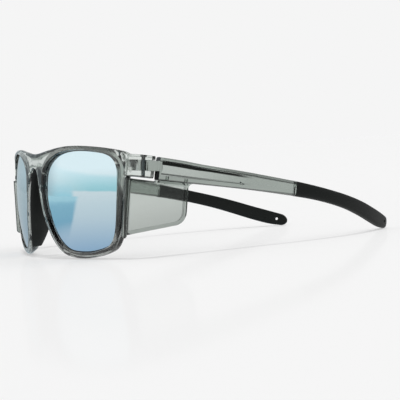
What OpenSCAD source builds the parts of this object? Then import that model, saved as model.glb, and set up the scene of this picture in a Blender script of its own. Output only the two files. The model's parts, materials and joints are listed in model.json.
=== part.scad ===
// Wraparound safety sunglasses with side shields, standing open on the rim bottoms and the temple tips.
// +X is the wearer's left, -Y is the way the wearer looks, +Z is up. Millimetres and degrees.
// The origin lies on the floor, midway between the two sides and midway from the bridge to the tips.

/* [Front] */
// Width of one lens opening
lens_w = 49.8; // [48:0.2:51]
// Height of one lens opening
lens_h = 44.6; // [43:0.2:46]
// Gap between the two lens openings across the bridge
lens_gap = 18.2; // [17:0.2:19]
// Plan radius of the wrapped front face
wrap_r = 132.5; // [125:0.5:145]
// Upright radius of the front face below its middle
rise_r = 97; // [90:1:110]
// Upright radius of the front face above its middle
brow_r = 135; // [120:1:150]
// Depth of the rim from its front face to its back
rim_depth = 4.4; // [4.2:0.1:5]
// Rounding along the outer edge of the rim, in front
rim_edge = 1.1; // [0.6:0.1:1.4]
// Rounding along the outer edge of the rim, behind
rear_edge = 0.8; // [0.5:0.1:1]

/* [Lens] */
// Radius of the spherical front of a lens
lens_r = 100; // [94:1:110]
// Thickness of a lens
lens_t = 1.6; // [1.5:0.1:1.7]
// How far the middle of a lens sits behind the front face
lens_inset = 1.1; // [0.8:0.1:1.2]
// How much further round than the front face a lens is turned
lens_toe = 0.6; // [0:0.1:0.8]
// How far the edge of a lens reaches into the groove of the rim
lens_bite = 0.95; // [0.8:0.05:1.1]
// Width of the step between the front of a lens and the opening round it
lens_step = 0.45; // [0.2:0.05:0.6]
// How far the edge of a lens lies behind its front
lens_drop = 0.35; // [0.2:0.05:0.5]

/* [Hinge] */
// Slope of the temples down to their tips when the glasses stand
tilt = 11; // [9:0.5:13]
// Lean of the hinge axes back from upright, less than the slope so that a folded tip drops below the other temple
axis_lean = 7; // [6:0.5:9]
// Height of the end piece and of its knuckles
hinge_h = 9.5; // [9:0.1:10]
// Wall of the end piece
end_t = 4.6; // [4.2:0.1:5]
// Outer radius of the corner where the front turns into the end piece
corner_r = 11; // [10:0.5:12]
// Height of the temple's knuckle between the knuckles of the end piece
tongue_h = 4.3; // [3.8:0.1:4.6]
// Radius of the temple's knuckle
tongue_r = 2.6; // [2.3:0.1:2.7]
// Radius of the hinge screw's shank
screw_r = 0.78; // [0.7:0.01:0.82]

/* [Temple] */
// Length from the hinge axis to the start of the rubber tip
temple_l = 74.4; // [70:0.5:80]
// Length of the rubber tip along the temple
tip_l = 67; // [60:0.5:70]
// Thickness of the temple beside the hinge
temple_t = 4.6; // [4.2:0.1:5]
// Depth of the tapered channel in the temple's outer face
channel_d = 1.5; // [0.8:0.1:1.8]
// Plan radius of the rubber tip's inward curve
tip_curve_r = 108; // [95:1:130]
// Radius of the lanyard hole through the end of each tip
lanyard_r = 0.75; // [0.5:0.05:1]

/* [Side shield] */
// Length of the shield's panel
shield_l = 27.7; // [24:0.1:29]
// Drop of the shield below the hinge axis's middle at its front edge
shield_drop = 29.4; // [26:0.2:30]
// Thickness of the shield's panel
shield_t = 1.3; // [1:0.1:1.6]
// Radius of the bead along the shield's front edge
bead_r = 1.2; // [1:0.1:1.4]

/* [Hidden] */

smoke = [0.62, 0.66, 0.63, 0.55];
ice = [0.58, 0.78, 0.86];
rubber = [0.13, 0.14, 0.14];
steel = [0.3, 0.3, 0.31];

fit = 0.05;
steps = 4;
lens_x = lens_gap / 2 + lens_w / 2;
lens_z = 3 + lens_h / 2;
groove_spare = 0.15;
lip = 0.65;

// Each row pairs a place on the lens opening, as parts of its half width and half height from its middle,
// with the matching place on the rim's outer edge, as a step in mm from the first. They run from the arch
// of the bridge down the nose side, along the bottom, up beside the hinge and back along the top.
rim_rows = [
    [[-0.928, 0.668], [-10.9, 0.00]],
    [[-0.978, 0.538], [-7.0, 1.60]],
    [[-0.992, 0.372], [-5.1, 2.00]],
    [[-0.980, 0.179], [-4.1, 1.61]],
    [[-0.940, -0.067], [-3.8, 1.39]],
    [[-0.880, -0.305], [-3.8, 1.00]],
    [[-0.787, -0.538], [-4.0, 0.80]],
    [[-0.659, -0.740], [-4.0, -1.20]],
    [[-0.474, -0.901], [-3.4, -2.71]],
    [[-0.261, -0.978], [-2.0, -3.04]],
    [[-0.020, -1.000], [-0.3, -3.00]],
    [[0.221, -0.993], [0.5, -2.71]],
    [[0.466, -0.946], [1.0, -2.60]],
    [[0.659, -0.870], [1.2, -2.30]],
    [[0.787, -0.744], [1.6, -1.31]],
    [[0.876, -0.561], [2.0, 0.01]],
    [[0.944, -0.291], [2.3, 0.79]],
    [[0.984, 0.000], [2.7, 1.90]],
    [[1.005, 0.300], [3.4, 3.01]],
    [[0.999, 0.592], [4.2, 2.70]],
    [[0.901, 0.785], [4.7, 2.29]],
    [[0.709, 0.888], [2.7, 2.10]],
    [[0.443, 0.955], [1.0, 2.00]],
    [[0.094, 0.996], [-0.8, 2.09]],
    [[-0.248, 0.987], [-2.8, 2.44]],
    [[-0.548, 0.928], [-7.4, 2.61]],
    [[-0.784, 0.812], [-14.5, 3.89]]
];
rows = len(rim_rows);
stations = rows * steps;
outline_end = (rows - 1) * steps;

// By row: how much further the lens's edge reaches, as an ear at the upper nose corner, and how far the rear of
// the rim stands in from its front
more_bite = [[0, 1.9], [0.75, 1.9], [1, 0], [24, 0], [25, 1], [26, 1.9]];
rear_draft = [[0, 0], [7.5, 0], [8.5, 1.6], [11, 1.2], [13, 0.6], [14, 0.4], [17, 0.4], [20, 0.2], [22, 0.7], [24, 1], [26, 1.6]];

// The pin stands in the middle of the end piece's wall, on the corner's arc
pin = [66.5, 23.7, 38.5];
pin_turn = 24;
mid_r = corner_r - end_t / 2;
arc_centre = [-mid_r * cos(pin_turn), mid_r * sin(pin_turn)];
knuckle_end = 3.9;
hinge_high = 5;
hinge_low = hinge_high - hinge_h;
outer_x = arc_centre[0] + corner_r;
tongue_z = -1.55;
shoulder = 6.4;

// Temple heights above and below the hinge axis's middle, along the temple
temple_top = [[0, 5], [17, 4.8], [27, 4.3], [50, 3.75], [74.4, 2.7], [80, 2.5]];
temple_base = [[0, -5], [12, -4.8], [27, -4.4], [50, -3.9], [74.4, -4], [80, -4.2]];
// Middle height and half height of the rubber tip, along the temple
tip_mid = [[74.4, -0.65], [84, -1.1], [95, -1.95], [106, -3.2], [116, -4.9], [126, -7], [134, -8.5],
    [141.4, -9.4]];
tip_half = [[74.4, 3.42], [84, 3.2], [95, 3.1], [106, 3.2], [116, 3.4], [126, 3.5], [134, 3.4],
    [141.4, 2.7]];
tip_half_t = [[74.4, 2.25], [95, 2.1], [120, 2], [141.4, 1.8]];
tip_reach = temple_l + tip_l;

// Smooth curves
function catmull(a, b, c, d, t) =
    0.5 * (2 * b + (c - a) * t + (2 * a - 5 * b + 4 * c - d) * t * t + (3 * b - a - 3 * c + d) * t * t * t);
function part_of(y, table, i = 0) =
    i >= len(table) - 2 || y <= table[i + 1][0] ? i : part_of(y, table, i + 1);
function slope(table, i) =
    let (a = max(0, i - 1), b = min(len(table) - 1, i + 1))
    (table[b][1] - table[a][1]) / (table[b][0] - table[a][0]);
function smooth(y, table) =
    let (i = part_of(y, table), a = table[i], b = table[i + 1], h = b[0] - a[0], t = (y - a[0]) / h)
    a[1] * (2 * t * t * t - 3 * t * t + 1) + b[1] * (3 * t * t - 2 * t * t * t)
    + h * slope(table, i) * (t * t * t - 2 * t * t + t) + h * slope(table, i + 1) * (t * t * t - t * t);
function unit(v) = v / norm(v);
function left_of(v) = [-v[1], v[0]];

// Outlines of one half of the front, seen from the front: [x, z]
inner_keys = [for (r = rim_rows) [lens_x + r[0][0] * lens_w / 2, lens_z + r[0][1] * lens_h / 2]];
outer_keys = [for (i = [0:rows - 1])
    let (p = inner_keys[i] + rim_rows[i][1]) i == 0 || i == rows - 1 ? [0, p[1]] : p];
function mirrored(p) = [-p[0], p[1]];
function outer_key(i) =
    i < 0 ? mirrored(outer_keys[1]) : i >= rows ? mirrored(outer_keys[rows - 2]) : outer_keys[i];
inner_line = [for (i = [0:rows - 1]) for (j = [0:steps - 1])
    catmull(inner_keys[(i + rows - 1) % rows], inner_keys[i], inner_keys[(i + 1) % rows],
        inner_keys[(i + 2) % rows], j / steps)];
outer_line = [for (k = [0:outline_end])
    let (i = min(floor(k / steps), rows - 2), t = k / steps - i)
    catmull(outer_key(i - 1), outer_key(i), outer_key(i + 1), outer_key(i + 2), t)];
function inner_normal(k) =
    unit(left_of(inner_line[(k + stations - 1) % stations] - inner_line[(k + 1) % stations]));
function outer_normal(k) =
    k == 0 ? [0, 1] : k == outline_end ? [0, -1] : unit(left_of(outer_line[k + 1] - outer_line[k - 1]));

// Front face, and the two spherical faces of a lens: the depth y at a place [x, z]
function bulge(z) =
    let (r = z > lens_z ? brow_r : rise_r) r - sqrt(r * r - pow(z - lens_z, 2));
function face_y(p) = wrap_r - sqrt(pow(wrap_r - bulge(p[1]), 2) - p[0] * p[0]);
lens_turn = asin(lens_x / wrap_r) + lens_toe;
ball_x = lens_x - lens_r * sin(lens_turn);
ball_y = face_y([lens_x, lens_z]) + lens_inset + lens_r * cos(lens_turn);
function lens_y(p, r) = ball_y - sqrt(r * r - pow(p[0] - ball_x, 2) - pow(p[1] - lens_z, 2));

origin_y = -0.5 * (pin[1] + tip_reach * cos(tilt) - 9.4 * sin(tilt));

// Faces of a skin whose rings have n points each, from ring a to ring b
function strip(a, b, n, j) = [[a * n + j, b * n + j, b * n + (j + 1) % n],
    [a * n + j, b * n + (j + 1) % n, a * n + (j + 1) % n]];
module skin(rings) {
    n = len(rings[0]);
    last = len(rings) - 1;
    sides = [for (i = [0:last - 1]) for (j = [0:n - 1]) each strip(i, i + 1, n, j)];
    polyhedron(points = [for (r = rings) each r],
        faces = concat(sides, [[for (j = [0:n - 1]) j], [for (j = [n - 1:-1:0]) last * n + j]]));
}

module standing() {
    translate([0, origin_y, 0]) children();
}

module right_side() {
    mirror([1, 0, 0]) children();
}

// Places a temple-side shape: origin on the hinge axis, z along it, y back along the temple
module at_hinge() {
    translate(pin) rotate([-tilt, 0, 0]) children();
}

// From the temple's own lines to the hinge axis, which leans less than they do
module at_axis() {
    rotate([tilt - axis_lean, 0, 0]) children();
}

// The 14 corners of the rim's section at station k, from the front of the opening round to its groove
function across(p, y) = [p[0], y, p[1]];
function bite(k) = lens_bite + lookup(k / steps, more_bite);
function draft(k) = lookup(k / steps, rear_draft);
function seam(inset, t) =
    let (high = outer_line[outline_end][1] - inset(outline_end), low = outer_line[0][1] + inset(0))
    [0, high + (low - high) * t];
function rim_ring(k) =
    let (
        a = inner_line[k],
        into = inner_normal(k),
        on_edge = k <= outline_end,
        b = on_edge ? outer_line[k] : [0, 0],
        back = on_edge ? outer_normal(k) : [0, 0],
        t = (k - outline_end) / (stations - outline_end),
        front_shelf = on_edge ? b + back * rim_edge : seam(function (k) rim_edge, t),
        rear_shelf = on_edge ? b + back * (rear_edge + draft(k)) : seam(function (k) rear_edge + draft(k), t),
        front_near = on_edge ? b + back * 0.3 * rim_edge : front_shelf,
        rear_near = on_edge ? b + back * (0.3 * rear_edge + draft(k)) : rear_shelf,
        front = on_edge ? b : front_shelf,
        rear = on_edge ? b + back * 0.7 * draft(k) : rear_shelf,
        seat = a + into * (bite(k) + groove_spare),
        front_lip = a + into * 0.35,
        rear_lip = a + into * 0.4,
        edge_r = lens_r - lens_drop
    ) [
        across(a, face_y(a) + 0.45),
        across(front_lip, face_y(front_lip)),
        across(front_shelf, face_y(front_shelf)),
        across(front_near, face_y(front_near) + 0.3 * rim_edge),
        across(front, face_y(front) + rim_edge),
        across(rear, face_y(rear) + rim_depth - rear_edge),
        across(rear_near, face_y(rear_near) + rim_depth - 0.3 * rear_edge),
        across(rear_shelf, face_y(rear_shelf) + rim_depth),
        across(rear_lip, lens_y(rear_lip, lens_r - lens_t) + lip),
        across(a, lens_y(a, lens_r - lens_t) + lip - 0.35),
        across(a, lens_y(a, lens_r - lens_t) + fit),
        across(seat, lens_y(seat, lens_r - lens_t) + fit),
        across(seat, lens_y(seat, edge_r) - fit),
        across(a, lens_y(a, edge_r) - fit)
    ];

// Both rims and the bridge as one closed skin: the left half and its mirror image share the corners at x = 0
module rims() {
    n = 14;
    half = [for (k = [0:stations - 1]) rim_ring(k)];
    corners = [for (r = half) each r];
    edge_first = 2;
    edge_last = 6;
    left_faces = [for (k = [0:stations - 1]) for (j = [0:n - 1])
        if (k < outline_end || j < edge_first || j > edge_last) each strip(k, (k + 1) % stations, n, j)];
    count = len(corners);
    polyhedron(
        points = concat(corners, [for (p = corners) [p[0] == 0 ? 0 : -p[0], p[1], p[2]]]),
        faces = concat(left_faces, [for (f = left_faces) [f[0] + count, f[2] + count, f[1] + count]]));
}

// Section of the end piece's wall, with rounded edges: x out from the corner's centre, y along the hinge axis
root_turn = 76;
module end_section() {
    r = 0.9;
    arc = [[corner_r - r, hinge_high - r, 0], [corner_r - end_t + r, hinge_high - r, 90],
        [corner_r - end_t + r, hinge_low + r, 180], [corner_r - r, hinge_low + r, 270]];
    polygon([for (c = arc) for (i = [0:4]) [c[0] + r * cos(c[2] + i * 22.5), c[1] + r * sin(c[2] + i * 22.5)]]);
}

// The gap that the temple's knuckle turns in, and the screw's stepped bore
module hinge_cuts() {
    gap_h = tongue_h + 0.3;
    translate([0, 0, tongue_z - 0.15]) {
        cylinder(r = tongue_r + 0.5, h = gap_h, $fn = 64);
        translate([-9, -2.5, 0]) cube([9, 9, gap_h]);
        translate([-1, 0, 0]) cube([6, 9, gap_h]);
    }
    translate([0, 0, hinge_low - 1]) cylinder(r = screw_r + 0.02, h = hinge_h + 2, $fn = 48);
    translate([0, 0, hinge_high - 0.9]) cylinder(r = 1.3, h = 2, $fn = 48);
}

// The end piece turns the corner from the rim, where its root is buried, to the knuckles beside the temple
module end_piece() {
    difference() {
        translate(arc_centre) {
            rotate([0, 0, -root_turn]) rotate_extrude(angle = root_turn, $fn = 120) end_section();
            translate([0, knuckle_end - arc_centre[1], 0]) rotate([90, 0, 0])
                linear_extrude(knuckle_end - arc_centre[1]) end_section();
        }
        at_axis() hinge_cuts();
    }
}

// Pegs that hold the nose pads: [station of the rim's edge, depth behind the front face]
pegs = [[11, 2.3], [21, 2.3]];
module at_peg(peg) {
    b = outer_line[peg[0]];
    dir = outer_normal(peg[0]);
    translate(across(b, face_y(b) + peg[1])) rotate([0, -atan2(dir[1], dir[0]), 0]) children();
}

module front_frame() {
    color(smoke) standing() difference() {
        union() {
            rims();
            at_hinge() end_piece();
            right_side() at_hinge() end_piece();
        }
        for (peg = pegs) {
            at_peg(peg) rotate([0, 90, 0]) translate([0, 0, -1]) cylinder(r = 0.8, h = 3, $fn = 32);
            right_side() at_peg(peg) rotate([0, 90, 0]) translate([0, 0, -1]) cylinder(r = 0.8, h = 3, $fn = 32);
        }
    }
}

// A lens is a ball's shell: its front fills the opening, and its lower edge lies in the groove
module lens_layer(r, edge) {
    intersection() {
        difference() {
            translate([ball_x, ball_y, lens_z]) sphere(r = r, $fn = 180);
            translate([ball_x, ball_y, lens_z]) sphere(r = lens_r - lens_t, $fn = 180);
        }
        translate([0, 40, 0]) rotate([90, 0, 0]) linear_extrude(60) polygon(edge);
    }
}

module lens() {
    lens_layer(lens_r, [for (k = [0:stations - 1]) inner_line[k] - inner_normal(k) * lens_step]);
    lens_layer(lens_r - lens_drop, [for (k = [0:stations - 1]) inner_line[k] + inner_normal(k) * bite(k)]);
}

// The rubber pad follows the rim's nose side between two stations: it grows from nothing at each end
pad_first = 1;
pad_last = 30;
pad_section = [[0.06, 0.7], [0.7, 0.9], [1.3, 2.6], [1.3, 5.6], [0.7, 8.6], [-0.5, 11.4], [-1.5, 13.1],
    [-2.1, 12.4], [-1.5, 9.6], [-0.9, 6.6], [-0.8, 4.7], [-0.2, 4.6], [0.06, 4.2]];
function pad_ring(k) =
    let (
        b = outer_line[k],
        back = outer_normal(k),
        grow = min(1, (k - pad_first + 2) / 4) * min(1, (pad_last + 1 - k) / 9),
        root = 4.65
    )
    [for (s = pad_section)
        let (
            a = s[0] > 0.06 ? 0.06 + (s[0] - 0.06) * (0.3 + 0.7 * grow) : s[0] * grow + 0.06 * (1 - grow),
            deep = s[1] > root ? root + (s[1] - root) * grow : s[1],
            p = b - back * a
        ) across(p, face_y(b) + deep)];

module nose_pad() {
    skin([for (k = [pad_first:pad_last]) pad_ring(k)]);
    for (peg = pegs)
        at_peg(peg) rotate([0, 90, 0]) translate([0, 0, -0.5]) cylinder(r = 0.75, h = 2.3, $fn = 32);
}

module hinge_screw() {
    translate([0, 0, hinge_low + 0.2]) cylinder(r = screw_r, h = hinge_h - 0.8, $fn = 48);
    difference() {
        translate([0, 0, hinge_high - 0.85]) cylinder(r = 1.2, h = 0.75, $fn = 48);
        translate([-2, -0.15, hinge_high - 0.4]) cube([4, 0.3, 1]);
    }
}

// One section of a temple at y: the outer face holds the channel, whose depth and heights vary
function channel_at(y) =
    let (a = shoulder + 1, b = 52)
    y < a || y > b ? 0 : channel_d * min(1, (y - a) / 0.3) * min(1, (b - y) / 30);
function temple_ring(y) =
    let (
        top = smooth(y, temple_top),
        base = smooth(y, temple_base),
        xo = outer_x,
        xi = outer_x - temple_t + 0.5 * y / temple_l,
        r = 0.9,
        s = 0.3 * r,
        d = channel_at(y),
        ct = top - 1.7,
        cb = base + 2,
        wall = 1.4 * d / channel_d
    ) [
        [xo - r, y, top], [xo - s, y, top - s], [xo, y, top - r],
        [xo, y, ct], [xo - d, y, ct - wall], [xo - d, y, cb + 0.25], [xo, y, cb],
        [xo, y, base + r], [xo - s, y, base + s], [xo - r, y, base],
        [xi + r, y, base], [xi + s, y, base + s], [xi, y, base + r],
        [xi, y, top - r], [xi + s, y, top - s], [xi + r, y, top]
    ];

// The tang is the slim end of the temple inside the rubber tip
tang_l = 12;
tang_h = 3.4;
tang_t = 1.8;
tang_x = outer_x - 2.4;
module tang(spare) {
    translate([tang_x - tang_t / 2 - spare, temple_l - 1, smooth(temple_l, tip_mid) - 1 - tang_h / 2 - spare])
        cube([tang_t + 2 * spare, tang_l + 1 + spare, tang_h + 2 * spare]);
}

// The temple's knuckle, with the web that joins it to the temple
module tongue() {
    translate([0, 0, tongue_z]) cylinder(r = tongue_r, h = tongue_h, $fn = 64);
    translate([outer_x - temple_t + 0.1, 0, tongue_z]) cube([temple_t - 0.2, shoulder + 1.2, tongue_h]);
}

module temple() {
    first = [shoulder, shoulder + 0.9, shoulder + 1.3];
    difference() {
        union() {
            skin([for (y = concat(first, [for (i = [1:34]) shoulder + 1.3 + i * (temple_l - shoulder - 1.3) / 34]))
                temple_ring(y)]);
            at_axis() tongue();
            tang(0);
        }
        at_axis() translate([0, 0, tongue_z - 1]) cylinder(r = screw_r + 0.05, h = tongue_h + 2, $fn = 48);
        for (place = shield_pegs) translate([place[0], place[1], -7]) cylinder(r = 0.75, h = 4.2, $fn = 32);
    }
}

// The rubber tip bends inward along an arc and drops to the floor
function tip_place(y) =
    let (turn = asin(min(1, (y - temple_l) / tip_curve_r)))
    [outer_x - 2.25 - tip_curve_r * (1 - cos(turn)), turn];
function tip_ring(y) =
    let (
        place = tip_place(y),
        left = tip_reach - y,
        nose = 2.6,
        close = left >= nose ? 1 : sqrt(max(0.06, 1 - pow((nose - left) / nose, 2))),
        mid = smooth(y, tip_mid),
        h = smooth(y, tip_half) * close,
        t = smooth(y, tip_half_t) * (0.35 + 0.65 * close),
        r = min(h, t) * 0.62,
        s = 0.3 * r,
        c = cos(place[1]),
        lean = sin(place[1]),
        corners = [[t - r, h], [t - s, h - s], [t, h - r], [t, r - h], [t - s, s - h], [t - r, -h],
            [r - t, -h], [s - t, s - h], [-t, r - h], [-t, h - r], [s - t, h - s], [r - t, h]]
    )
    [for (q = corners) [place[0] + q[0] * c, y + q[0] * lean, mid + q[1]]];

module temple_tip() {
    count = 34;
    body_end = tip_reach - 3;
    ys = concat([for (i = [0:count]) temple_l + 0.05 + i * (body_end - temple_l - 0.05) / count],
        [for (left = [2.4, 1.8, 1.2, 0.7, 0.3, 0.05]) tip_reach - left]);
    hole_y = tip_reach - 4.6;
    hole = tip_place(hole_y);
    difference() {
        skin([for (y = ys) tip_ring(y)]);
        tang(0.04);
        translate([hole[0], hole_y, smooth(hole_y, tip_mid)]) rotate([0, 0, hole[1]]) rotate([0, 90, 0])
            translate([0, 0, -5]) cylinder(r = lanyard_r, h = 10, $fn = 48);
    }
}

// Side shield: it hangs under the temple, and its bead stands close behind the rim
shield_front = -5.8;
shield_back = shield_front + shield_l;
shield_x = -2.5;
shield_turn = atan2(2, shield_l);
shield_step = 6.9;
shield_fillet = 2.2;
shield_pegs = [[0.6, 11], [0.6, 20]];
strip_t = 0.9;
strip_w = 3;
border = 1.5;
// Toward its lower edge the shield leans inward and steps back, as parts of the height below this level
lean_from = -6;
lean_in = 0.16;
lean_back = 0.12;

function below_temple(y) = smooth(y, temple_base) - 0.06;
function arc_points(c, r, from, to, n) = [for (i = [0:n])
    let (a = from + (to - from) * i / n) [c[0] + r * cos(a), c[1] + r * sin(a)]];

// Outline of the panel seen from the side, [y, z]: it steps down below the end piece, follows the temple,
// runs into a hollow fillet at the back, and slopes up along the bottom from the bead to a round corner
module shield_outline() {
    corner = 6.5;
    bottom_turn = 16;
    low_back = -shield_drop + shield_l * tan(bottom_turn);
    centre = [shield_back - corner, low_back + corner / cos(bottom_turn) - corner * tan(bottom_turn)];
    fillet = [shield_back + shield_fillet, below_temple(shield_back) - shield_fillet];
    polygon(concat(
        [[shield_front, -shield_drop]],
        arc_points(centre, corner, bottom_turn - 90, 0, 12),
        arc_points(fillet, shield_fillet, 180, 95, 8),
        [for (y = [shield_back:-2.4:shield_step]) [y, below_temple(y)]],
        [[shield_step, below_temple(shield_step)], [shield_step - 0.5, hinge_low - 0.9],
            [shield_front, hinge_low - 0.9]]));
}

module upright(w) {
    rotate([90, 0, 90]) linear_extrude(w) children();
}

// The strip lies under the temple and carries the panel and two pegs
module shield_strip() {
    first = shield_step + 0.4;
    last = shield_back - 1;
    ys = [for (i = [0:8]) first + i * (last - first) / 8];
    translate([shield_pegs[0][0] - strip_w / 2, 0, 0]) upright(strip_w)
        polygon(concat([for (y = ys) [y, below_temple(y)]],
            [for (i = [8:-1:0]) [ys[i], below_temple(ys[i]) - strip_t]]));
    for (place = shield_pegs) translate([place[0], place[1], -6]) cylinder(r = 0.7, h = 2.9, $fn = 32);
}

module leaning() {
    multmatrix([[1, 0, lean_in, -lean_in * lean_from], [0, 1, -lean_back, lean_back * lean_from],
        [0, 0, 1, 0], [0, 0, 0, 1]]) children();
}

module side_shield() {
    leaning() {
        translate([shield_x, shield_front, 0]) rotate([0, 0, -shield_turn]) translate([0, -shield_front, 0]) {
            upright(shield_t) shield_outline();
            translate([-0.35, 0, 0]) upright(shield_t + 0.7) difference() {
                shield_outline();
                offset(r = -border) shield_outline();
            }
        }
        translate([shield_x + shield_t / 2, shield_front, -shield_drop]) {
            cylinder(r = bead_r, h = shield_drop + hinge_low - 0.7, $fn = 48);
            sphere(r = bead_r, $fn = 48);
        }
    }
    shield_strip();
}

front_frame();
color(ice) standing() lens();  // lens_left
color(ice) standing() right_side() lens();  // lens_right
color(rubber) standing() nose_pad();  // nose_pad_left
color(rubber) standing() right_side() nose_pad();  // nose_pad_right
color(steel) standing() at_hinge() at_axis() hinge_screw();  // hinge_screw_left
color(steel) standing() right_side() at_hinge() at_axis() hinge_screw();  // hinge_screw_right
color(smoke) standing() at_hinge() temple();  // temple_left
color(smoke) standing() right_side() at_hinge() temple();  // temple_right
color(rubber) standing() at_hinge() temple_tip();  // temple_tip_left
color(rubber) standing() right_side() at_hinge() temple_tip();  // temple_tip_right
color(smoke) standing() at_hinge() side_shield();  // side_shield_left
color(smoke) standing() right_side() at_hinge() side_shield();  // side_shield_right
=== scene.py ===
"""Wraparound safety sunglasses with side shields, dressed for a studio picture.

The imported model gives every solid. Each operator below makes one kind of piece from it,
smoothed and finished, and the last one sets the stage.
"""

import json
import math

import bpy
from mathutils import Matrix, Vector


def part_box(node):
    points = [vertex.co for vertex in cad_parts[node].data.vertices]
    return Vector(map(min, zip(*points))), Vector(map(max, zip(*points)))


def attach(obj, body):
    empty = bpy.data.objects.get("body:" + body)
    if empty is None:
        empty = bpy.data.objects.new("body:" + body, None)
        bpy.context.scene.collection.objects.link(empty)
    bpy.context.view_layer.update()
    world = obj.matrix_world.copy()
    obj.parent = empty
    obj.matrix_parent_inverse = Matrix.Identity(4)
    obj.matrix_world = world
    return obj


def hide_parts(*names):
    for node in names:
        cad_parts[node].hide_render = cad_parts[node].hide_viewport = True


bl_info = {
    "name": "Safety Sunglasses",
    "version": (1, 0, 0),
    "blender": (4, 5, 0),
    "location": "View3D > Sidebar > Sunglasses",
    "description": "Builds the finished pieces of a pair of safety sunglasses and their stage",
    "category": "Add Mesh",
}

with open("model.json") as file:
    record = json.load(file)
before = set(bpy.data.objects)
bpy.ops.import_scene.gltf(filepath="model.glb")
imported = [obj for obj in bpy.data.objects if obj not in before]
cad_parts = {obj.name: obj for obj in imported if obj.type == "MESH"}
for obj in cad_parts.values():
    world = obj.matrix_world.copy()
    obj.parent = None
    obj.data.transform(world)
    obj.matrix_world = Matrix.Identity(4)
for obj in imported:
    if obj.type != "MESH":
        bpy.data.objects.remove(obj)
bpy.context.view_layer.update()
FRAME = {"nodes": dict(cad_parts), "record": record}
SIDES = ("left", "right")
MM = 0.001


# ---------------------------------------------------------------- places on the glasses, in mm

# The left lens opening: its middle across and up, and half its width and height
OPENING_MIDDLE = (34.0, 25.3)
OPENING_HALF = (24.7, 21.9)
# The ball whose surface is the mirrored face of the left lens, and how deep that face counts
LENS_BALL = (7.33, 21.56, 25.3)
LENS_RADIUS = 100
MIRROR_DEPTH = 0.12

# The rims, out from the middle, where their painted shade changes: where the bridge ends and where
# the temple corner starts
BRIDGE_ENDS = (3, 12)
TEMPLE_CORNER_OUT = (51, 57)
# The rims, up from the floor, where their painted shade changes: where their foot ends, the temple
# corner starts and the brow starts
RIM_FOOT_ENDS = (2, 12)
TEMPLE_CORNER_UP = (12, 24)
BROW_STARTS = (42, 46)
# Half the width and height over which the walls of a rim turn
RIM_REACH = (25, 22)
# The edge of a lens in its groove: where the painted light on its temple corner and its brow starts
LENS_CORNER_OUT = (50, 57)
LENS_CORNER_UP = (13, 24)
LENS_BROW = (40, 47)

# The middle of the left hinge pin, and the slope of the temples down to their tips
PIN = (66.5, -56.654, 38.5)
TEMPLE_SLOPE = math.radians(11)
# The end piece: its inner end, out from the middle, and its foot, measured from the pin's middle
END_PIECE_FROM = 60.5
END_PIECE_LOW = -5.0
# Lines of painted shade along a temple: their height beside the pin, and their rise for each mm to
# the back
TEMPLE_TOP = (5.1, -0.031)
CHANNEL_TOP = (2.5, -0.022)
CHANNEL_FOOT = (-2.1, 0.009)
TEMPLE_FOOT = (-4.85, 0.02)
SHIELD_FOOT = (-27.5, 0.29)
# The channel: the nearest place of its walls and of its open side to the middle, and its two ends
CHANNEL_OUT = (67.9, 69.4)
CHANNEL_STARTS = 7.2
CHANNEL_FADES = (44, 53)


# ---------------------------------------------------------------- light

# The room's share of the light, and each sun's share, turn, rise and width. The shares make 1
ROOM_LIGHT = 0.58
LAMPS = (
    ("top_sun", 0.32, math.radians(20), math.radians(88), math.radians(6)),
    ("fill_sun", 0.1, math.radians(150), math.radians(50), math.radians(50)),
)
# How far the floor keeps its own colour where it is seen, and where a lens mirrors it
FLOOR_GLOW = 0.45
MIRRORED_GLOW = 0.9
FLOOR_GLOSS = 0.05
# The dim band: where it starts and ends, as sines of the height above the horizon, and its light
BAND_FOOT = (0.5, 0.6)
BAND_HEAD = (0.9, 0.96)
BAND_LIGHT = (0.12, 0.12, 0.12)

# What the mirrored lenses face. First a teal strip on the wall ahead, which fades to the far side
# and upwards
TEAL = (0.46, 0.76, 0.8)
STRIP_FOOT = (0.026, 0.04)
STRIP_HEAD = (0.13, 0.165)
STRIP_FADES_ASIDE = (0.3, 1.0)
STRIP_FADES_UP = (0.03, 0.16)
# Then a blue sheet on the floor, paler further off: its corner, the way that its side runs, how
# soft that side and its near end are, where it ends, and how it shows on the wall
BLUE = (0.27, 0.55, 0.68)
PALE_BLUE = (0.5, 0.79, 0.87)
SHEET_CORNER = (0.003, -0.09)
SHEET_SIDE = (-0.799, 0.602)
SHEET_EDGE = (-0.1, -0.02)
SHEET_STARTS = (0.01, 0.12)
SHEET_ENDS = 0.02
SHEET_PALES = (0.3, 1.2)
SHEET_WALL_EDGE = (-0.03, 0.05)
SHEET_WALL_HEAD = (0.0, 0.09)
# The grey far side of the room: on the floor past a line, and on the wall to the far side
FAR_SIDE = (0.46, 0.53, 0.56)
FAR_LINE = (-0.469, 0.883)
FAR_LINE_AHEAD = -0.08
FAR_LINE_EDGE = (0.0, 0.04)
FAR_FLOOR_FROM = -0.04
FAR_WALL = (0.75, 0.95)
FAR_WALL_ENDS = (0.2, 0.4)
# The dim near side of the room, which only reflections show, on the floor and on the wall
DIM_SIDE = (0.3, 0.32, 0.31)
DIM_FLOOR_ASIDE = (0.08, 0.16)
DIM_FLOOR_AHEAD = (-0.16, -0.06)
DIM_WALL_ASIDE = (0.3, 0.6)
DIM_WALL_BACK = (-0.3, 0.2)

# The point that the camera looks at in mm, and its lens and sensor in mm
CAMERA_TARGET = (0, 4.866, 19.53)
CAMERA_LENS = 127.85
SENSOR_WIDTH = 36


# ---------------------------------------------------------------- sizes and colours


def colour_prop(name, description, default):
    return bpy.props.FloatVectorProperty(
        name=name, description=description, subtype="COLOR", size=3, min=0, max=1, default=default
    )


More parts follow.
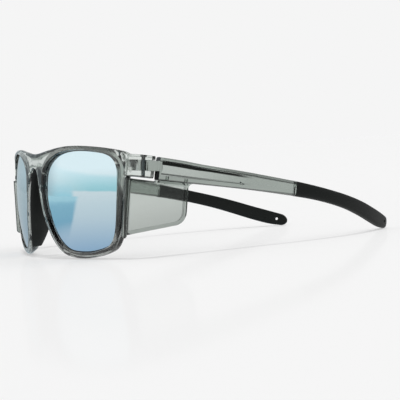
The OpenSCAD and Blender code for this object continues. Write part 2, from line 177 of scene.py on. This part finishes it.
class ClearPlasticSettings(bpy.types.PropertyGroup):
    """The see-through grey plastic of the front, temples and shields."""

    tint: colour_prop(
        "Tint", "Colour that the surface gives to light passing it", (0.955, 0.985, 0.965)
    )
    keeps: colour_prop(
        "Keeps", "Share of each colour that the body of the plastic lets on", (0.6, 0.632, 0.61)
    )
    # Painted shade: the near-black colour painted on the plastic's surface on narrow walls, edges
    # and lines that look dark
    edge: colour_prop(
        "Edge", "Colour that narrow walls and edges give to light passing them",
        (0.0004, 0.0005, 0.0004)
    )
    density: bpy.props.FloatProperty(
        name="Density", description="How strongly the plastic darkens with depth",
        min=0, max=2000, default=300
    )
    bend: bpy.props.FloatProperty(
        name="Refraction", description="Refractive index of the plastic",
        min=1.3, max=1.7, default=1.52
    )
    gloss: bpy.props.FloatProperty(
        name="Roughness", description="Roughness of the moulded surface",
        min=0, max=0.5, default=0.02
    )


class LensSettings(bpy.types.PropertyGroup):
    """The light blue mirror on the front of a lens and the dark tint behind it."""

    top: colour_prop("Top", "Mirror colour near the top of the lens", (0.76, 0.93, 0.99))
    upper: colour_prop(
        "Upper", "Mirror colour just above the middle of the lens", (0.6, 0.73, 0.78)
    )
    middle: colour_prop("Middle", "Mirror colour below the middle of the lens", (0.49, 0.63, 0.71))
    low: colour_prop("Low", "Mirror colour at the bottom of the lens", (0.26, 0.43, 0.61))
    tint: colour_prop(
        "Tint", "Colour of the lens seen from behind and at its edge", (0.03, 0.033, 0.034)
    )
    # Painted light: the light grey given to the lens edge in the brow and the temple corner of the
    # rim, where the rim looks light
    held: colour_prop(
        "Held edge", "Colour of the edge in the brow and the temple corner of the rim",
        (0.6, 0.63, 0.61)
    )


class RubberSettings(bpy.types.PropertyGroup):
    """The black rubber of the nose pads and the temple tips."""

    colour: colour_prop("Colour", "Colour of the rubber", (0.007, 0.0085, 0.0078))
    grain: bpy.props.FloatProperty(
        name="Grain", description="Size of the fine grain",
        min=0.00005, max=0.002, default=0.0003, unit="LENGTH", precision=5
    )


class StageSettings(bpy.types.PropertyGroup):
    """Camera, floor and light."""

    camera_turn: bpy.props.FloatProperty(
        name="Camera turn", description="How far the camera stands round from the front",
        subtype="ANGLE", default=math.radians(61.79)
    )
    camera_rise: bpy.props.FloatProperty(
        name="Camera rise", description="How far the camera looks down",
        subtype="ANGLE", default=math.radians(2.2)
    )
    camera_roll: bpy.props.FloatProperty(
        name="Camera roll", description="How far the camera leans",
        subtype="ANGLE", default=math.radians(4.13)
    )
    camera_distance: bpy.props.FloatProperty(
        name="Camera distance", description="From the camera to the point it looks at",
        unit="LENGTH", default=0.684
    )
    backdrop: colour_prop("Backdrop", "Colour of the floor and the backdrop", (0.913, 0.913, 0.913))


# ---------------------------------------------------------------- shader maths


class Value:
    """A number on its way through a material, so that node maths reads as Python."""

    def __init__(self, finish, socket):
        self.finish = finish
        self.socket = socket

    def maths(self, operation, *numbers):
        return self.finish.node(
            "ShaderNodeMath", {"operation": operation}, dict(enumerate(numbers))
        )

    def __add__(self, other):
        return self.maths("ADD", self, other)

    def __radd__(self, other):
        return self.maths("ADD", other, self)

    def __sub__(self, other):
        return self.maths("SUBTRACT", self, other)

    def __rsub__(self, other):
        return self.maths("SUBTRACT", other, self)

    def __mul__(self, other):
        return self.maths("MULTIPLY", self, other)

    def __rmul__(self, other):
        return self.maths("MULTIPLY", other, self)

    def __truediv__(self, other):
        return self.maths("DIVIDE", self, other)

    def __rtruediv__(self, other):
        return self.maths("DIVIDE", other, self)

    def __pow__(self, other):
        return self.maths("POWER", self, other)

    def __rpow__(self, other):
        return self.maths("POWER", other, self)

    def above(self, other):
        return self.maths("GREATER_THAN", self, other)

    def below(self, other):
        return self.maths("LESS_THAN", self, other)

    def smooth(self, low, high):
        """0 below low, 1 above high and a soft step between them."""
        return self.finish.node(
            "ShaderNodeMapRange", {"interpolation_type": "SMOOTHSTEP"},
            {0: self, 1: low, 2: high, 3: 0.0, 4: 1.0}
        )


def most(first, *others):
    """The greatest of some values."""
    for other in others:
        first = first.maths("MAXIMUM", first, other)
    return first


def size_of(value):
    """A value without its sign."""
    return value.maths("ABSOLUTE", value)


def near(value, low, high):
    """1 where a value is nearly 0, and 0 where it is past high on either side."""
    return 1 - size_of(value).smooth(low, high)


class Finish:
    """A material, or the light of a world, under construction."""

    def __init__(self, name, world=None):
        self.material = world or bpy.data.materials.new(name)
        self.material.use_nodes = True
        self.tree = self.material.node_tree
        self.tree.nodes.clear()
        self.output = self.tree.nodes.new(
            "ShaderNodeOutputWorld" if world else "ShaderNodeOutputMaterial"
        )

    def node(self, kind, settings=None, inputs=None, output=0):
        """Adds a node, sets it, fills its sockets with numbers or links, and gives one output."""
        made = self.tree.nodes.new(kind)
        for name, setting in (settings or {}).items():
            if name == "stops":
                self.set_stops(made.color_ramp, setting)
            else:
                setattr(made, name, setting)
        for name, value in (inputs or {}).items():
            socket = made.inputs[name]
            if isinstance(value, Value):
                self.tree.links.new(value.socket, socket)
            elif isinstance(value, (tuple, list)) and len(value) == 3 and socket.type == "RGBA":
                socket.default_value = (*value, 1)
            else:
                socket.default_value = value
        return Value(self, made.outputs[output])

    @staticmethod
    def set_stops(ramp, stops):
        while len(ramp.elements) < len(stops):
            ramp.elements.new(1)
        for element, (place, colour) in zip(ramp.elements, stops):
            element.position = place
            element.color = (*colour, 1)

    def parts(self, vector):
        """The three numbers of a vector."""
        return [self.node("ShaderNodeSeparateXYZ", None, {0: vector}, axis) for axis in range(3)]

    def point(self):
        """The point on the piece, in the piece's own frame, as a vector."""
        return self.node("ShaderNodeTexCoord", output="Object")

    def place(self):
        """The point on the piece, in the piece's own frame, as three numbers."""
        return self.parts(self.point())

    def facing(self):
        """The way that the surface faces, in the piece's own frame, as three numbers."""
        return self.parts(self.node("ShaderNodeTexCoord", output="Normal"))

    def ray(self, kind):
        """1 for light of one kind, and otherwise 0."""
        return self.node("ShaderNodeLightPath", output=f"Is {kind} Ray")

    def noise(self, size, detail=2.0):
        return self.node(
            "ShaderNodeTexNoise", None,
            {"Vector": self.point(), "Scale": 1 / size, "Detail": detail}
        )

    def mixed_colour(self, share, first, second):
        return self.node("ShaderNodeMix", {"data_type": "RGBA"}, {0: share, 6: first, 7: second}, 2)

    def bump(self, height, strength, distance):
        return self.node(
            "ShaderNodeBump", None,
            {"Height": height, "Strength": strength, "Distance": distance}
        )

    def mixed_shader(self, share, first, second):
        return self.node("ShaderNodeMixShader", None, {0: share, 1: first, 2: second})

    def surface(self, shader, volume=None):
        """Ends the material with its surface, and with its body if it has one."""
        self.tree.links.new(shader.socket, self.output.inputs["Surface"])
        if volume:
            self.tree.links.new(volume.socket, self.output.inputs["Volume"])
        return self.material


def seen_share(finish):
    """1 for light on its way to the camera, also by a mirror or clear plastic, and otherwise 0."""
    return most(*(finish.ray(kind) for kind in ("Camera", "Glossy", "Transmission")))


def mirror_share(finish):
    """1 for light that a surface mirrors and that has passed through nothing."""
    passed = finish.node("ShaderNodeLightPath", output="Transmission Depth").above(0.5)
    return finish.ray("Glossy") * (1 - passed)


# ---------------------------------------------------------------- painted shade on the clear plastic


def along_temple(finish):
    """Places out from the middle, behind the hinge pin along a temple, and above it, in mm."""
    x, y, z = finish.place()
    back, up = y - PIN[1] * MM, z - PIN[2] * MM
    cos, sin = math.cos(TEMPLE_SLOPE), math.sin(TEMPLE_SLOPE)
    return size_of(x) / MM, (back * cos - up * sin) / MM, (back * sin + up * cos) / MM


def over(line, along, high):
    """How far a place lies above a line along a temple, in mm."""
    return high - along * line[1] - line[0]


def rim_painted_shade(finish):
    """Painted shade on the walls round a lens, the outer edge and foot of a rim, and the end
    pieces.
    """
    x, y, z = finish.place()
    right, back, up = finish.facing()
    wide, high = size_of(x) / MM, z / MM

    # A wall faces neither ahead nor back: an inner one faces the middle of the lens opening
    wall = near(back, 0.3, 0.7)
    side = right * (x / size_of(x))
    outward = (side * (wide - OPENING_MIDDLE[0]) / RIM_REACH[0]
               + up * (high - OPENING_MIDDLE[1]) / RIM_REACH[1])
    inner = (outward * -1.0).smooth(0.1, 0.4)

    # The painted shade is lighter at the temple corner, the bridge and the brow, and darker at the
    # foot
    temple_corner = wide.smooth(*TEMPLE_CORNER_OUT) * high.smooth(*TEMPLE_CORNER_UP)
    inner_wall_shade = wall * inner * 0.6 * (1 - temple_corner * 0.8)
    outer_wall_shade = wall * (1 - inner) * 0.6 * (1 - temple_corner * 0.45)
    foot = (1 - high.smooth(*RIM_FOOT_ENDS)) * 0.3
    bridge = (1 - wide.smooth(*BRIDGE_ENDS)) * 0.9
    brow = high.smooth(*BROW_STARTS) * 0.35

    # The end piece gets no painted shade but on its ends beside the temple and on its foot
    along, above = along_temple(finish)[1:]
    end_piece = wide.above(END_PIECE_FROM) * above.above(END_PIECE_LOW)
    ends = along.above(3.0) * size_of(back).smooth(0.6, 0.8) * 0.95
    end_foot_shade = above.below(-3.9) * along.above(-5.0) * 0.75

    rims = (1 - bridge) * (1 - brow) * (1 - end_piece)
    return most(most(inner_wall_shade, outer_wall_shade, foot) * rims, end_piece * most(ends, end_foot_shade))


def temple_painted_shade(finish):
    """Painted shade on the channel's walls and ends, along a temple's top and foot, and at its
    shoulder.
    """
    out, along, high = along_temple(finish)
    back, up = finish.facing()[1:]
    below_top = over(TEMPLE_TOP, along, high) * -1.0

    # The channel is open to the outside, and its walls, which face up or down, get painted shade
    outer = out.above(CHANNEL_OUT[0]) * along.above(CHANNEL_STARTS)
    outer = outer * (1 - along.smooth(*CHANNEL_FADES))
    sunk = outer * out.below(CHANNEL_OUT[1])
    wall = size_of(up).smooth(0.35, 0.6) * high.above(-3.5) * below_top.above(1.2) * sunk
    wall = wall * (high.smooth(-1, 1) * 0.22 + 0.75)

    # Painted dark lines along the channel's walls and across its front end
    channel_top_shade = near(over(CHANNEL_TOP, along, high), 0.25, 0.5) * outer * 0.97
    channel_foot_shade = near(over(CHANNEL_FOOT, along, high), 0.2, 0.5) * outer
    channel_foot_shade = channel_foot_shade * (1 - along.smooth(16, 46) * 0.7) * 0.75
    channel_end_shade = near(along - 7.5, 0.1, 0.4) * high.above(-2.8) * high.below(2.9) * sunk * 0.6

    # Painted dark lines along the temple's own top and foot, and painted shade on the face in front
    # of its shoulder
    top = 1 - (below_top - along.smooth(20, 62) * 1.1).smooth(0.45, 0.7)
    top = top * 0.24 * along.above(8)
    foot = (1 - over(TEMPLE_FOOT, along, high).smooth(0.3, 0.6)) * 0.55
    shoulder = (back * -1.0).smooth(0.6, 0.8) * along.above(5) * 0.97
    return most(wall, shoulder, channel_top_shade, channel_foot_shade, channel_end_shade, top, foot)


def shield_painted_shade(finish):
    """Painted shade on the narrow edges of a shield and its border, on its step and, faintly,
    towards its foot.
    """
    along, high = along_temple(finish)[1:]
    right = finish.facing()[0]
    edges = near(right, 0.3, 0.7) * 0.9
    step = high.above(-6.1) * along.below(6.5) * 0.5
    foot = (over(SHIELD_FOOT, along, high) * -1.0).smooth(-14, 2) * 0.12
    return most(edges, step, foot)


# ---------------------------------------------------------------- materials


def clear_plastic(name, density, walls):
    """Moulded grey plastic: clear on its surface but for painted shade, and darker the deeper light
    goes through it.

    density is that of the piece beside the plastic's own. walls gives the share of painted
    shade on narrow walls, edges and lines, which mixes the edge colour into the surface colour.
    """
    look = bpy.context.scene.clear_plastic
    finish = Finish(name)
    ripple = finish.noise(6 * MM)
    # Painted shade: clear is 1 where the surface keeps its tint and 0 where it is painted in the
    # edge colour
    clear = 1 - walls(finish)
    shader = finish.node(
        "ShaderNodeBsdfPrincipled", None,
        {
            # Light is tinted by the square root of this colour each time that it passes
            "Base Color": finish.mixed_colour(clear * clear, tuple(look.edge), tuple(look.tint)),
            "Roughness": ripple * 0.02 + look.gloss,
            "IOR": look.bend,
            "Transmission Weight": 1.0,
            "Normal": finish.bump(ripple, 0.15, 0.05 * MM),
        },
    )
    body = finish.node(
        "ShaderNodeVolumeAbsorption", None,
        {"Color": tuple(look.keeps), "Density": look.density * density}
    )
    return finish.surface(shader, body)


def lens_mirror():
    """A light blue mirror on the front face, over a dark tinted lens with a dark edge, partly
    painted light.
    """
    look = bpy.context.scene.lens_look
    finish = Finish("lens_mirror")
    x, y, z = finish.place()

    # The mirror's colour changes with height
    low, high = (v.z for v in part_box("lens_left"))
    stops = [(0.03, look.low), (0.36, look.middle), (0.6, look.upper), (0.8, look.top)]
    mirror = finish.node("ShaderNodeValToRGB", {"stops": stops}, {0: (z - low) / (high - low)})

    # The mirrored face is the part of the lens that lies on the ball
    ball = [c * MM for c in LENS_BALL]
    across = size_of(x) - ball[0]
    reach = (across * across + (y - ball[1]) ** 2.0 + (z - ball[2]) ** 2.0) ** 0.5
    front = reach.above((LENS_RADIUS - MIRROR_DEPTH) * MM)

    # The edge in the groove gets painted light in the temple corner and the brow, and in the temple
    # corner it also mirrors like metal to look lighter
    wide, up = size_of(x) / MM, z / MM
    aside = size_of(wide - OPENING_MIDDLE[0]) / OPENING_HALF[0]
    above = size_of(up - OPENING_MIDDLE[1]) / OPENING_HALF[1]
    held = (aside ** 3.0 + above ** 3.0).smooth(0.99, 1.05)
    temple_corner = wide.smooth(*LENS_CORNER_OUT) * up.smooth(*LENS_CORNER_UP)
    painted_light_edge = most(temple_corner, up.smooth(*LENS_BROW) * 0.5) * held
    behind = finish.mixed_colour(painted_light_edge, tuple(look.tint), tuple(look.held))

    shiny_edge = temple_corner * held
    ripple = finish.noise(8 * MM) * 0.02 + 0.02
    shader = finish.node(
        "ShaderNodeBsdfPrincipled", None,
        {
            "Base Color": finish.mixed_colour(front, behind, mirror),
            "Metallic": most(front * 0.96, shiny_edge * 0.9),
            "Roughness": most(ripple, shiny_edge * (1 - front) * 0.3),
            "Coat Weight": front * 0.2,
            "Coat Roughness": 0.02,
        },
    )
    return finish.surface(shader)


def black_rubber():
    """Matte black rubber with a fine grain."""
    look = bpy.context.scene.rubber_look
    finish = Finish("black_rubber")
    grain = finish.noise(look.grain, 3.0)
    patches = finish.noise(7 * MM)
    worn = tuple(1.5 * c for c in look.colour)
    shader = finish.node(
        "ShaderNodeBsdfPrincipled", None,
        {
            "Base Color": finish.mixed_colour(patches, tuple(look.colour), worn),
            "Roughness": patches * 0.12 + 0.5,
            "Specular IOR Level": 0.2,
            "Normal": finish.bump(grain, 0.35, 0.03 * MM),
        },
    )
    return finish.surface(shader)


def dark_steel():
    """Blackened steel with fine turning marks."""
    finish = Finish("dark_steel")
    marks = finish.noise(0.2 * MM)
    shader = finish.node(
        "ShaderNodeBsdfPrincipled", None,
        {"Base Color": (0.08, 0.08, 0.085), "Metallic": 1.0, "Roughness": marks * 0.2 + 0.25},
    )
    return finish.surface(shader)


# ---------------------------------------------------------------- shared modelling steps


def select_only(piece):
    bpy.ops.object.select_all(action="DESELECT")
    piece.select_set(True)
    bpy.context.view_layer.objects.active = piece


def finished_copy(node, name, material, crease_angle, levels=1):
    """A piece that stands for a solid: its faces merged, its facets smoothed, its edges kept.

    Faces that meet at more than crease_angle degrees keep an edge between them.
    """
    crease = math.radians(crease_angle)
    merge_within = 0.002 * MM
    piece = bpy.data.objects.new(name, FRAME["nodes"][node].data.copy())
    bpy.context.scene.collection.objects.link(piece)
    select_only(piece)
    bpy.ops.mesh.customdata_custom_splitnormals_clear()
    bpy.ops.object.mode_set(mode="EDIT")
    bpy.ops.mesh.select_mode(type="EDGE")
    bpy.ops.mesh.select_all(action="SELECT")
    bpy.ops.mesh.remove_doubles(threshold=merge_within)
    bpy.ops.mesh.dissolve_degenerate(threshold=merge_within)
    bpy.ops.mesh.select_all(action="SELECT")
    bpy.ops.mesh.tris_convert_to_quads(
        face_threshold=math.radians(30), shape_threshold=math.radians(120)
    )
    bpy.ops.mesh.select_all(action="DESELECT")
    bpy.ops.mesh.edges_select_sharp(sharpness=crease)
    bpy.ops.transform.edge_crease(value=1)
    bpy.ops.object.mode_set(mode="OBJECT")
    if levels:
        smooth = piece.modifiers.new("Smooth facets", "SUBSURF")
        smooth.levels = smooth.render_levels = levels
        bpy.ops.object.modifier_apply(modifier=smooth.name)
    bpy.ops.object.shade_smooth_by_angle(angle=crease)
    piece.data.materials.clear()
    piece.data.materials.append(material)
    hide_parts(node)
    body = next(b for b, nodes in FRAME["record"]["behaviour"]["bodies"].items() if node in nodes)
    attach(piece, body)
    return piece


def pair_of(node, name, material, crease_angle, levels=1):
    """The left and the right piece of one kind."""
    for side in SIDES:
        finished_copy(f"{node}_{side}", f"{name}_{side}", material, crease_angle, levels)


# ---------------------------------------------------------------- the pieces


class SHADES_OT_front(bpy.types.Operator):
    """Front moulding with both rims, the bridge and the hinge ends"""

    bl_idname = "shades.front"
    bl_label = "Front"

    def execute(self, context):
        plastic = clear_plastic("clear_front", 0.5, rim_painted_shade)
        finished_copy("front_frame", "front_moulding", plastic, 50)
        return {"FINISHED"}


class SHADES_OT_lenses(bpy.types.Operator):
    """Two tinted lenses with a light blue mirror"""

    bl_idname = "shades.lenses"
    bl_label = "Lenses"

    def execute(self, context):
        pair_of("lens", "mirrored_lens", lens_mirror(), 40, levels=0)
        return {"FINISHED"}


class SHADES_OT_nose_pads(bpy.types.Operator):
    """Two rubber nose pads"""

    bl_idname = "shades.nose_pads"
    bl_label = "Nose pads"

    def execute(self, context):
        pair_of("nose_pad", "rubber_pad", black_rubber(), 60)
        return {"FINISHED"}


class SHADES_OT_screws(bpy.types.Operator):
    """Two slotted hinge screws"""

    bl_idname = "shades.screws"
    bl_label = "Hinge screws"

    def execute(self, context):
        pair_of("hinge_screw", "slotted_screw", dark_steel(), 30, levels=0)
        return {"FINISHED"}


class SHADES_OT_temples(bpy.types.Operator):
    """Two clear temples with a tapered channel"""

    bl_idname = "shades.temples"
    bl_label = "Temples"

    def execute(self, context):
        plastic = clear_plastic("clear_temple", 1.8, temple_painted_shade)
        pair_of("temple", "clear_temple", plastic, 45)
        return {"FINISHED"}


class SHADES_OT_tips(bpy.types.Operator):
    """Two rubber temple tips"""

    bl_idname = "shades.tips"
    bl_label = "Temple tips"

    def execute(self, context):
        rubber = bpy.data.materials["black_rubber"]
        pair_of("temple_tip", "rubber_tip", rubber, 60)
        return {"FINISHED"}


class SHADES_OT_shields(bpy.types.Operator):
    """Two clear side shields"""

    bl_idname = "shades.shields"
    bl_label = "Side shields"

    def execute(self, context):
        plastic = clear_plastic("clear_shield", 3.3, shield_painted_shade)
        pair_of("side_shield", "clear_shield", plastic, 40, levels=0)
        return {"FINISHED"}


def way_back(turn, rise):
    """The way from the object to a camera or lamp that stands round from the front and above."""
    level = math.cos(rise)
    return Vector((math.sin(turn) * level, -math.cos(turn) * level, math.sin(rise)))


class SHADES_OT_stage(bpy.types.Operator):
    """Camera, floor, backdrop and soft light"""

    bl_idname = "shades.stage"
    bl_label = "Stage"

    def execute(self, context):
        self.add_camera(context)
        self.add_floor(context)
        self.add_backdrop(context)
        self.add_lamps(context)
        context.scene.view_settings.view_transform = "Standard"
        return {"FINISHED"}

    def add_camera(self, context):
        stage = context.scene.stage_look
        back = way_back(stage.camera_turn, stage.camera_rise)
        right = Vector((math.cos(stage.camera_turn), math.sin(stage.camera_turn), 0))
        up = back.cross(right)
        cos, sin = math.cos(stage.camera_roll), math.sin(stage.camera_roll)
        axes = Matrix((cos * right - sin * up, sin * right + cos * up, back)).transposed()
        location = Vector(CAMERA_TARGET) * MM + back * stage.camera_distance
        bpy.ops.object.select_all(action="DESELECT")
        bpy.ops.object.camera_add(location=location, rotation=axes.to_euler())
        camera = context.object
        camera.name = "studio_camera"
        camera.data.lens = CAMERA_LENS
        camera.data.sensor_width = SENSOR_WIDTH
        camera.data.clip_start = 0.01
        context.scene.camera = camera

    def add_floor(self, context):
        """Pale paper with a little gloss, darker where the glasses shade it."""
        bpy.ops.object.select_all(action="DESELECT")
        bpy.ops.mesh.primitive_plane_add(size=30, location=(0, 0, 0))
        floor = context.object
        floor.name = "floor"
        backdrop = tuple(context.scene.stage_look.backdrop)
        finish = Finish("floor_paper")
        x, y, z = finish.place()
        mirrored = mirror_share(finish)

        # The blue sheet spreads from its corner between two sides
        along, ahead = x - SHEET_CORNER[0], y - SHEET_CORNER[1]
        away = (along * along + ahead * ahead) ** 0.5 + 0.02
        beside = (along * SHEET_SIDE[0] + ahead * SHEET_SIDE[1]) / away
        sheet = beside.smooth(*SHEET_EDGE) * away.smooth(*SHEET_STARTS) * ahead.below(SHEET_ENDS)
        blue = finish.mixed_colour(away.smooth(*SHEET_PALES), BLUE, PALE_BLUE)
        shown = finish.mixed_colour(sheet * mirrored, backdrop, blue)

        # The grey far side and the dim near side
        past_line = (x * FAR_LINE[0] + (y - FAR_LINE_AHEAD) * FAR_LINE[1]).smooth(*FAR_LINE_EDGE)
        far_side = past_line * x.below(FAR_FLOOR_FROM)
        shown = finish.mixed_colour(far_side * mirrored, shown, FAR_SIDE)
        near_side = x.smooth(*DIM_FLOOR_ASIDE) * y.smooth(*DIM_FLOOR_AHEAD)
        shown = finish.mixed_colour(finish.ray("Glossy") * near_side, shown, DIM_SIDE)

        paper = finish.node("ShaderNodeBsdfDiffuse", None, {"Color": backdrop})
        glow = finish.node("ShaderNodeEmission", None, {"Color": shown, "Strength": 1.0})
        gloss = finish.node("ShaderNodeBsdfGlossy", None, {"Color": (1, 1, 1), "Roughness": 0.08})
        glowing = most(seen_share(finish) * FLOOR_GLOW, mirrored * MIRRORED_GLOW)
        seen = finish.mixed_shader(glowing, paper, glow)
        floor.data.materials.append(finish.surface(finish.mixed_shader(FLOOR_GLOSS, seen, gloss)))

    def add_backdrop(self, context):
        """An even white room. Reflected or bent light also meets a dim band high up."""
        world = bpy.data.worlds.new("studio")
        context.scene.world = world
        backdrop = tuple(context.scene.stage_look.backdrop)
        finish = Finish("studio", world)
        right, back, height = finish.parts(finish.node("ShaderNodeTexCoord", output="Generated"))

        # The teal strip ahead
        strip = height.smooth(*STRIP_FOOT) * (1 - height.smooth(*STRIP_HEAD))
        strip = strip * (1 - (right * -1.0).smooth(*STRIP_FADES_ASIDE) * 0.8)
        strip = strip * (1 - height.smooth(*STRIP_FADES_UP) * 0.5)
        walls = finish.mixed_colour(strip * back.below(0.0), backdrop, TEAL)

        # The far end of the blue sheet
        beside = (right * SHEET_SIDE[0] + back * SHEET_SIDE[1]).smooth(*SHEET_WALL_EDGE)
        sheet = beside * (1 - height.smooth(*SHEET_WALL_HEAD)) * back.below(0.0)
        walls = finish.mixed_colour(sheet, walls, PALE_BLUE)

        # The grey far side, all so far for mirrored light alone, and the dim near side
        far_side = (right * -1.0).smooth(*FAR_WALL) * (1 - back.smooth(*FAR_WALL_ENDS))
        walls = finish.mixed_colour(far_side, walls, FAR_SIDE)
        walls = finish.mixed_colour(mirror_share(finish), backdrop, walls)
        near_side = right.smooth(*DIM_WALL_ASIDE) * back.smooth(*DIM_WALL_BACK)
        walls = finish.mixed_colour(near_side * finish.ray("Glossy"), walls, DIM_SIDE)

        seen = finish.node("ShaderNodeBackground", None, {"Color": walls})
        dim = finish.node("ShaderNodeBackground", None, {"Color": BAND_LIGHT})
        lit = finish.node(
            "ShaderNodeBackground", None, {"Color": (1, 1, 1), "Strength": ROOM_LIGHT}
        )
        band = height.smooth(*BAND_FOOT) * (1 - height.smooth(*BAND_HEAD))
        bent = finish.mixed_shader(band * (1 - finish.ray("Camera")), seen, dim)
        finish.surface(finish.mixed_shader(finish.ray("Diffuse"), bent, lit))

    def add_lamps(self, context):
        """Two suns, each strong enough at its height to give the floor its share of the light."""
        for name, share, turn, rise, width in LAMPS:
            back = way_back(turn, rise)
            bpy.ops.object.select_all(action="DESELECT")
            bpy.ops.object.light_add(
                type="SUN", location=back, rotation=back.to_track_quat("Z", "Y").to_euler()
            )
            lamp = context.object
            lamp.name = name
            lamp.data.angle = width
            lamp.data.energy = share * math.pi / math.sin(rise)
            lamp.visible_glossy = False
            lamp.visible_transmission = False


PIECES = (
    SHADES_OT_front, SHADES_OT_lenses, SHADES_OT_nose_pads, SHADES_OT_screws,
    SHADES_OT_temples, SHADES_OT_tips, SHADES_OT_shields, SHADES_OT_stage,
)

LOOKS = {
    "clear_plastic": ClearPlasticSettings,
    "lens_look": LensSettings,
    "rubber_look": RubberSettings,
    "stage_look": StageSettings,
}


class SHADES_PT_panel(bpy.types.Panel):
    """Lists the pieces in the order that they are made, and the settings of their looks"""

    bl_idname = "SHADES_PT_panel"
    bl_label = "Safety Sunglasses"
    bl_space_type = "VIEW_3D"
    bl_region_type = "UI"
    bl_category = "Sunglasses"

    def draw(self, context):
        for piece in PIECES:
            self.layout.operator(piece.bl_idname)
        for group, kind in LOOKS.items():
            box = self.layout.box()
            for name in kind.__annotations__:
                box.prop(getattr(context.scene, group), name)


def register():
    for group, kind in LOOKS.items():
        bpy.utils.register_class(kind)
        setattr(bpy.types.Scene, group, bpy.props.PointerProperty(type=kind))
    for piece in PIECES:
        bpy.utils.register_class(piece)
    bpy.utils.register_class(SHADES_PT_panel)


def unregister():
    bpy.utils.unregister_class(SHADES_PT_panel)
    for piece in reversed(PIECES):
        bpy.utils.unregister_class(piece)
    for group, kind in LOOKS.items():
        delattr(bpy.types.Scene, group)
        bpy.utils.unregister_class(kind)


def main():
    register()
    for piece in PIECES:
        group, name = piece.bl_idname.split(".")
        getattr(getattr(bpy.ops, group), name)()


if __name__ == "__main__":
    main()
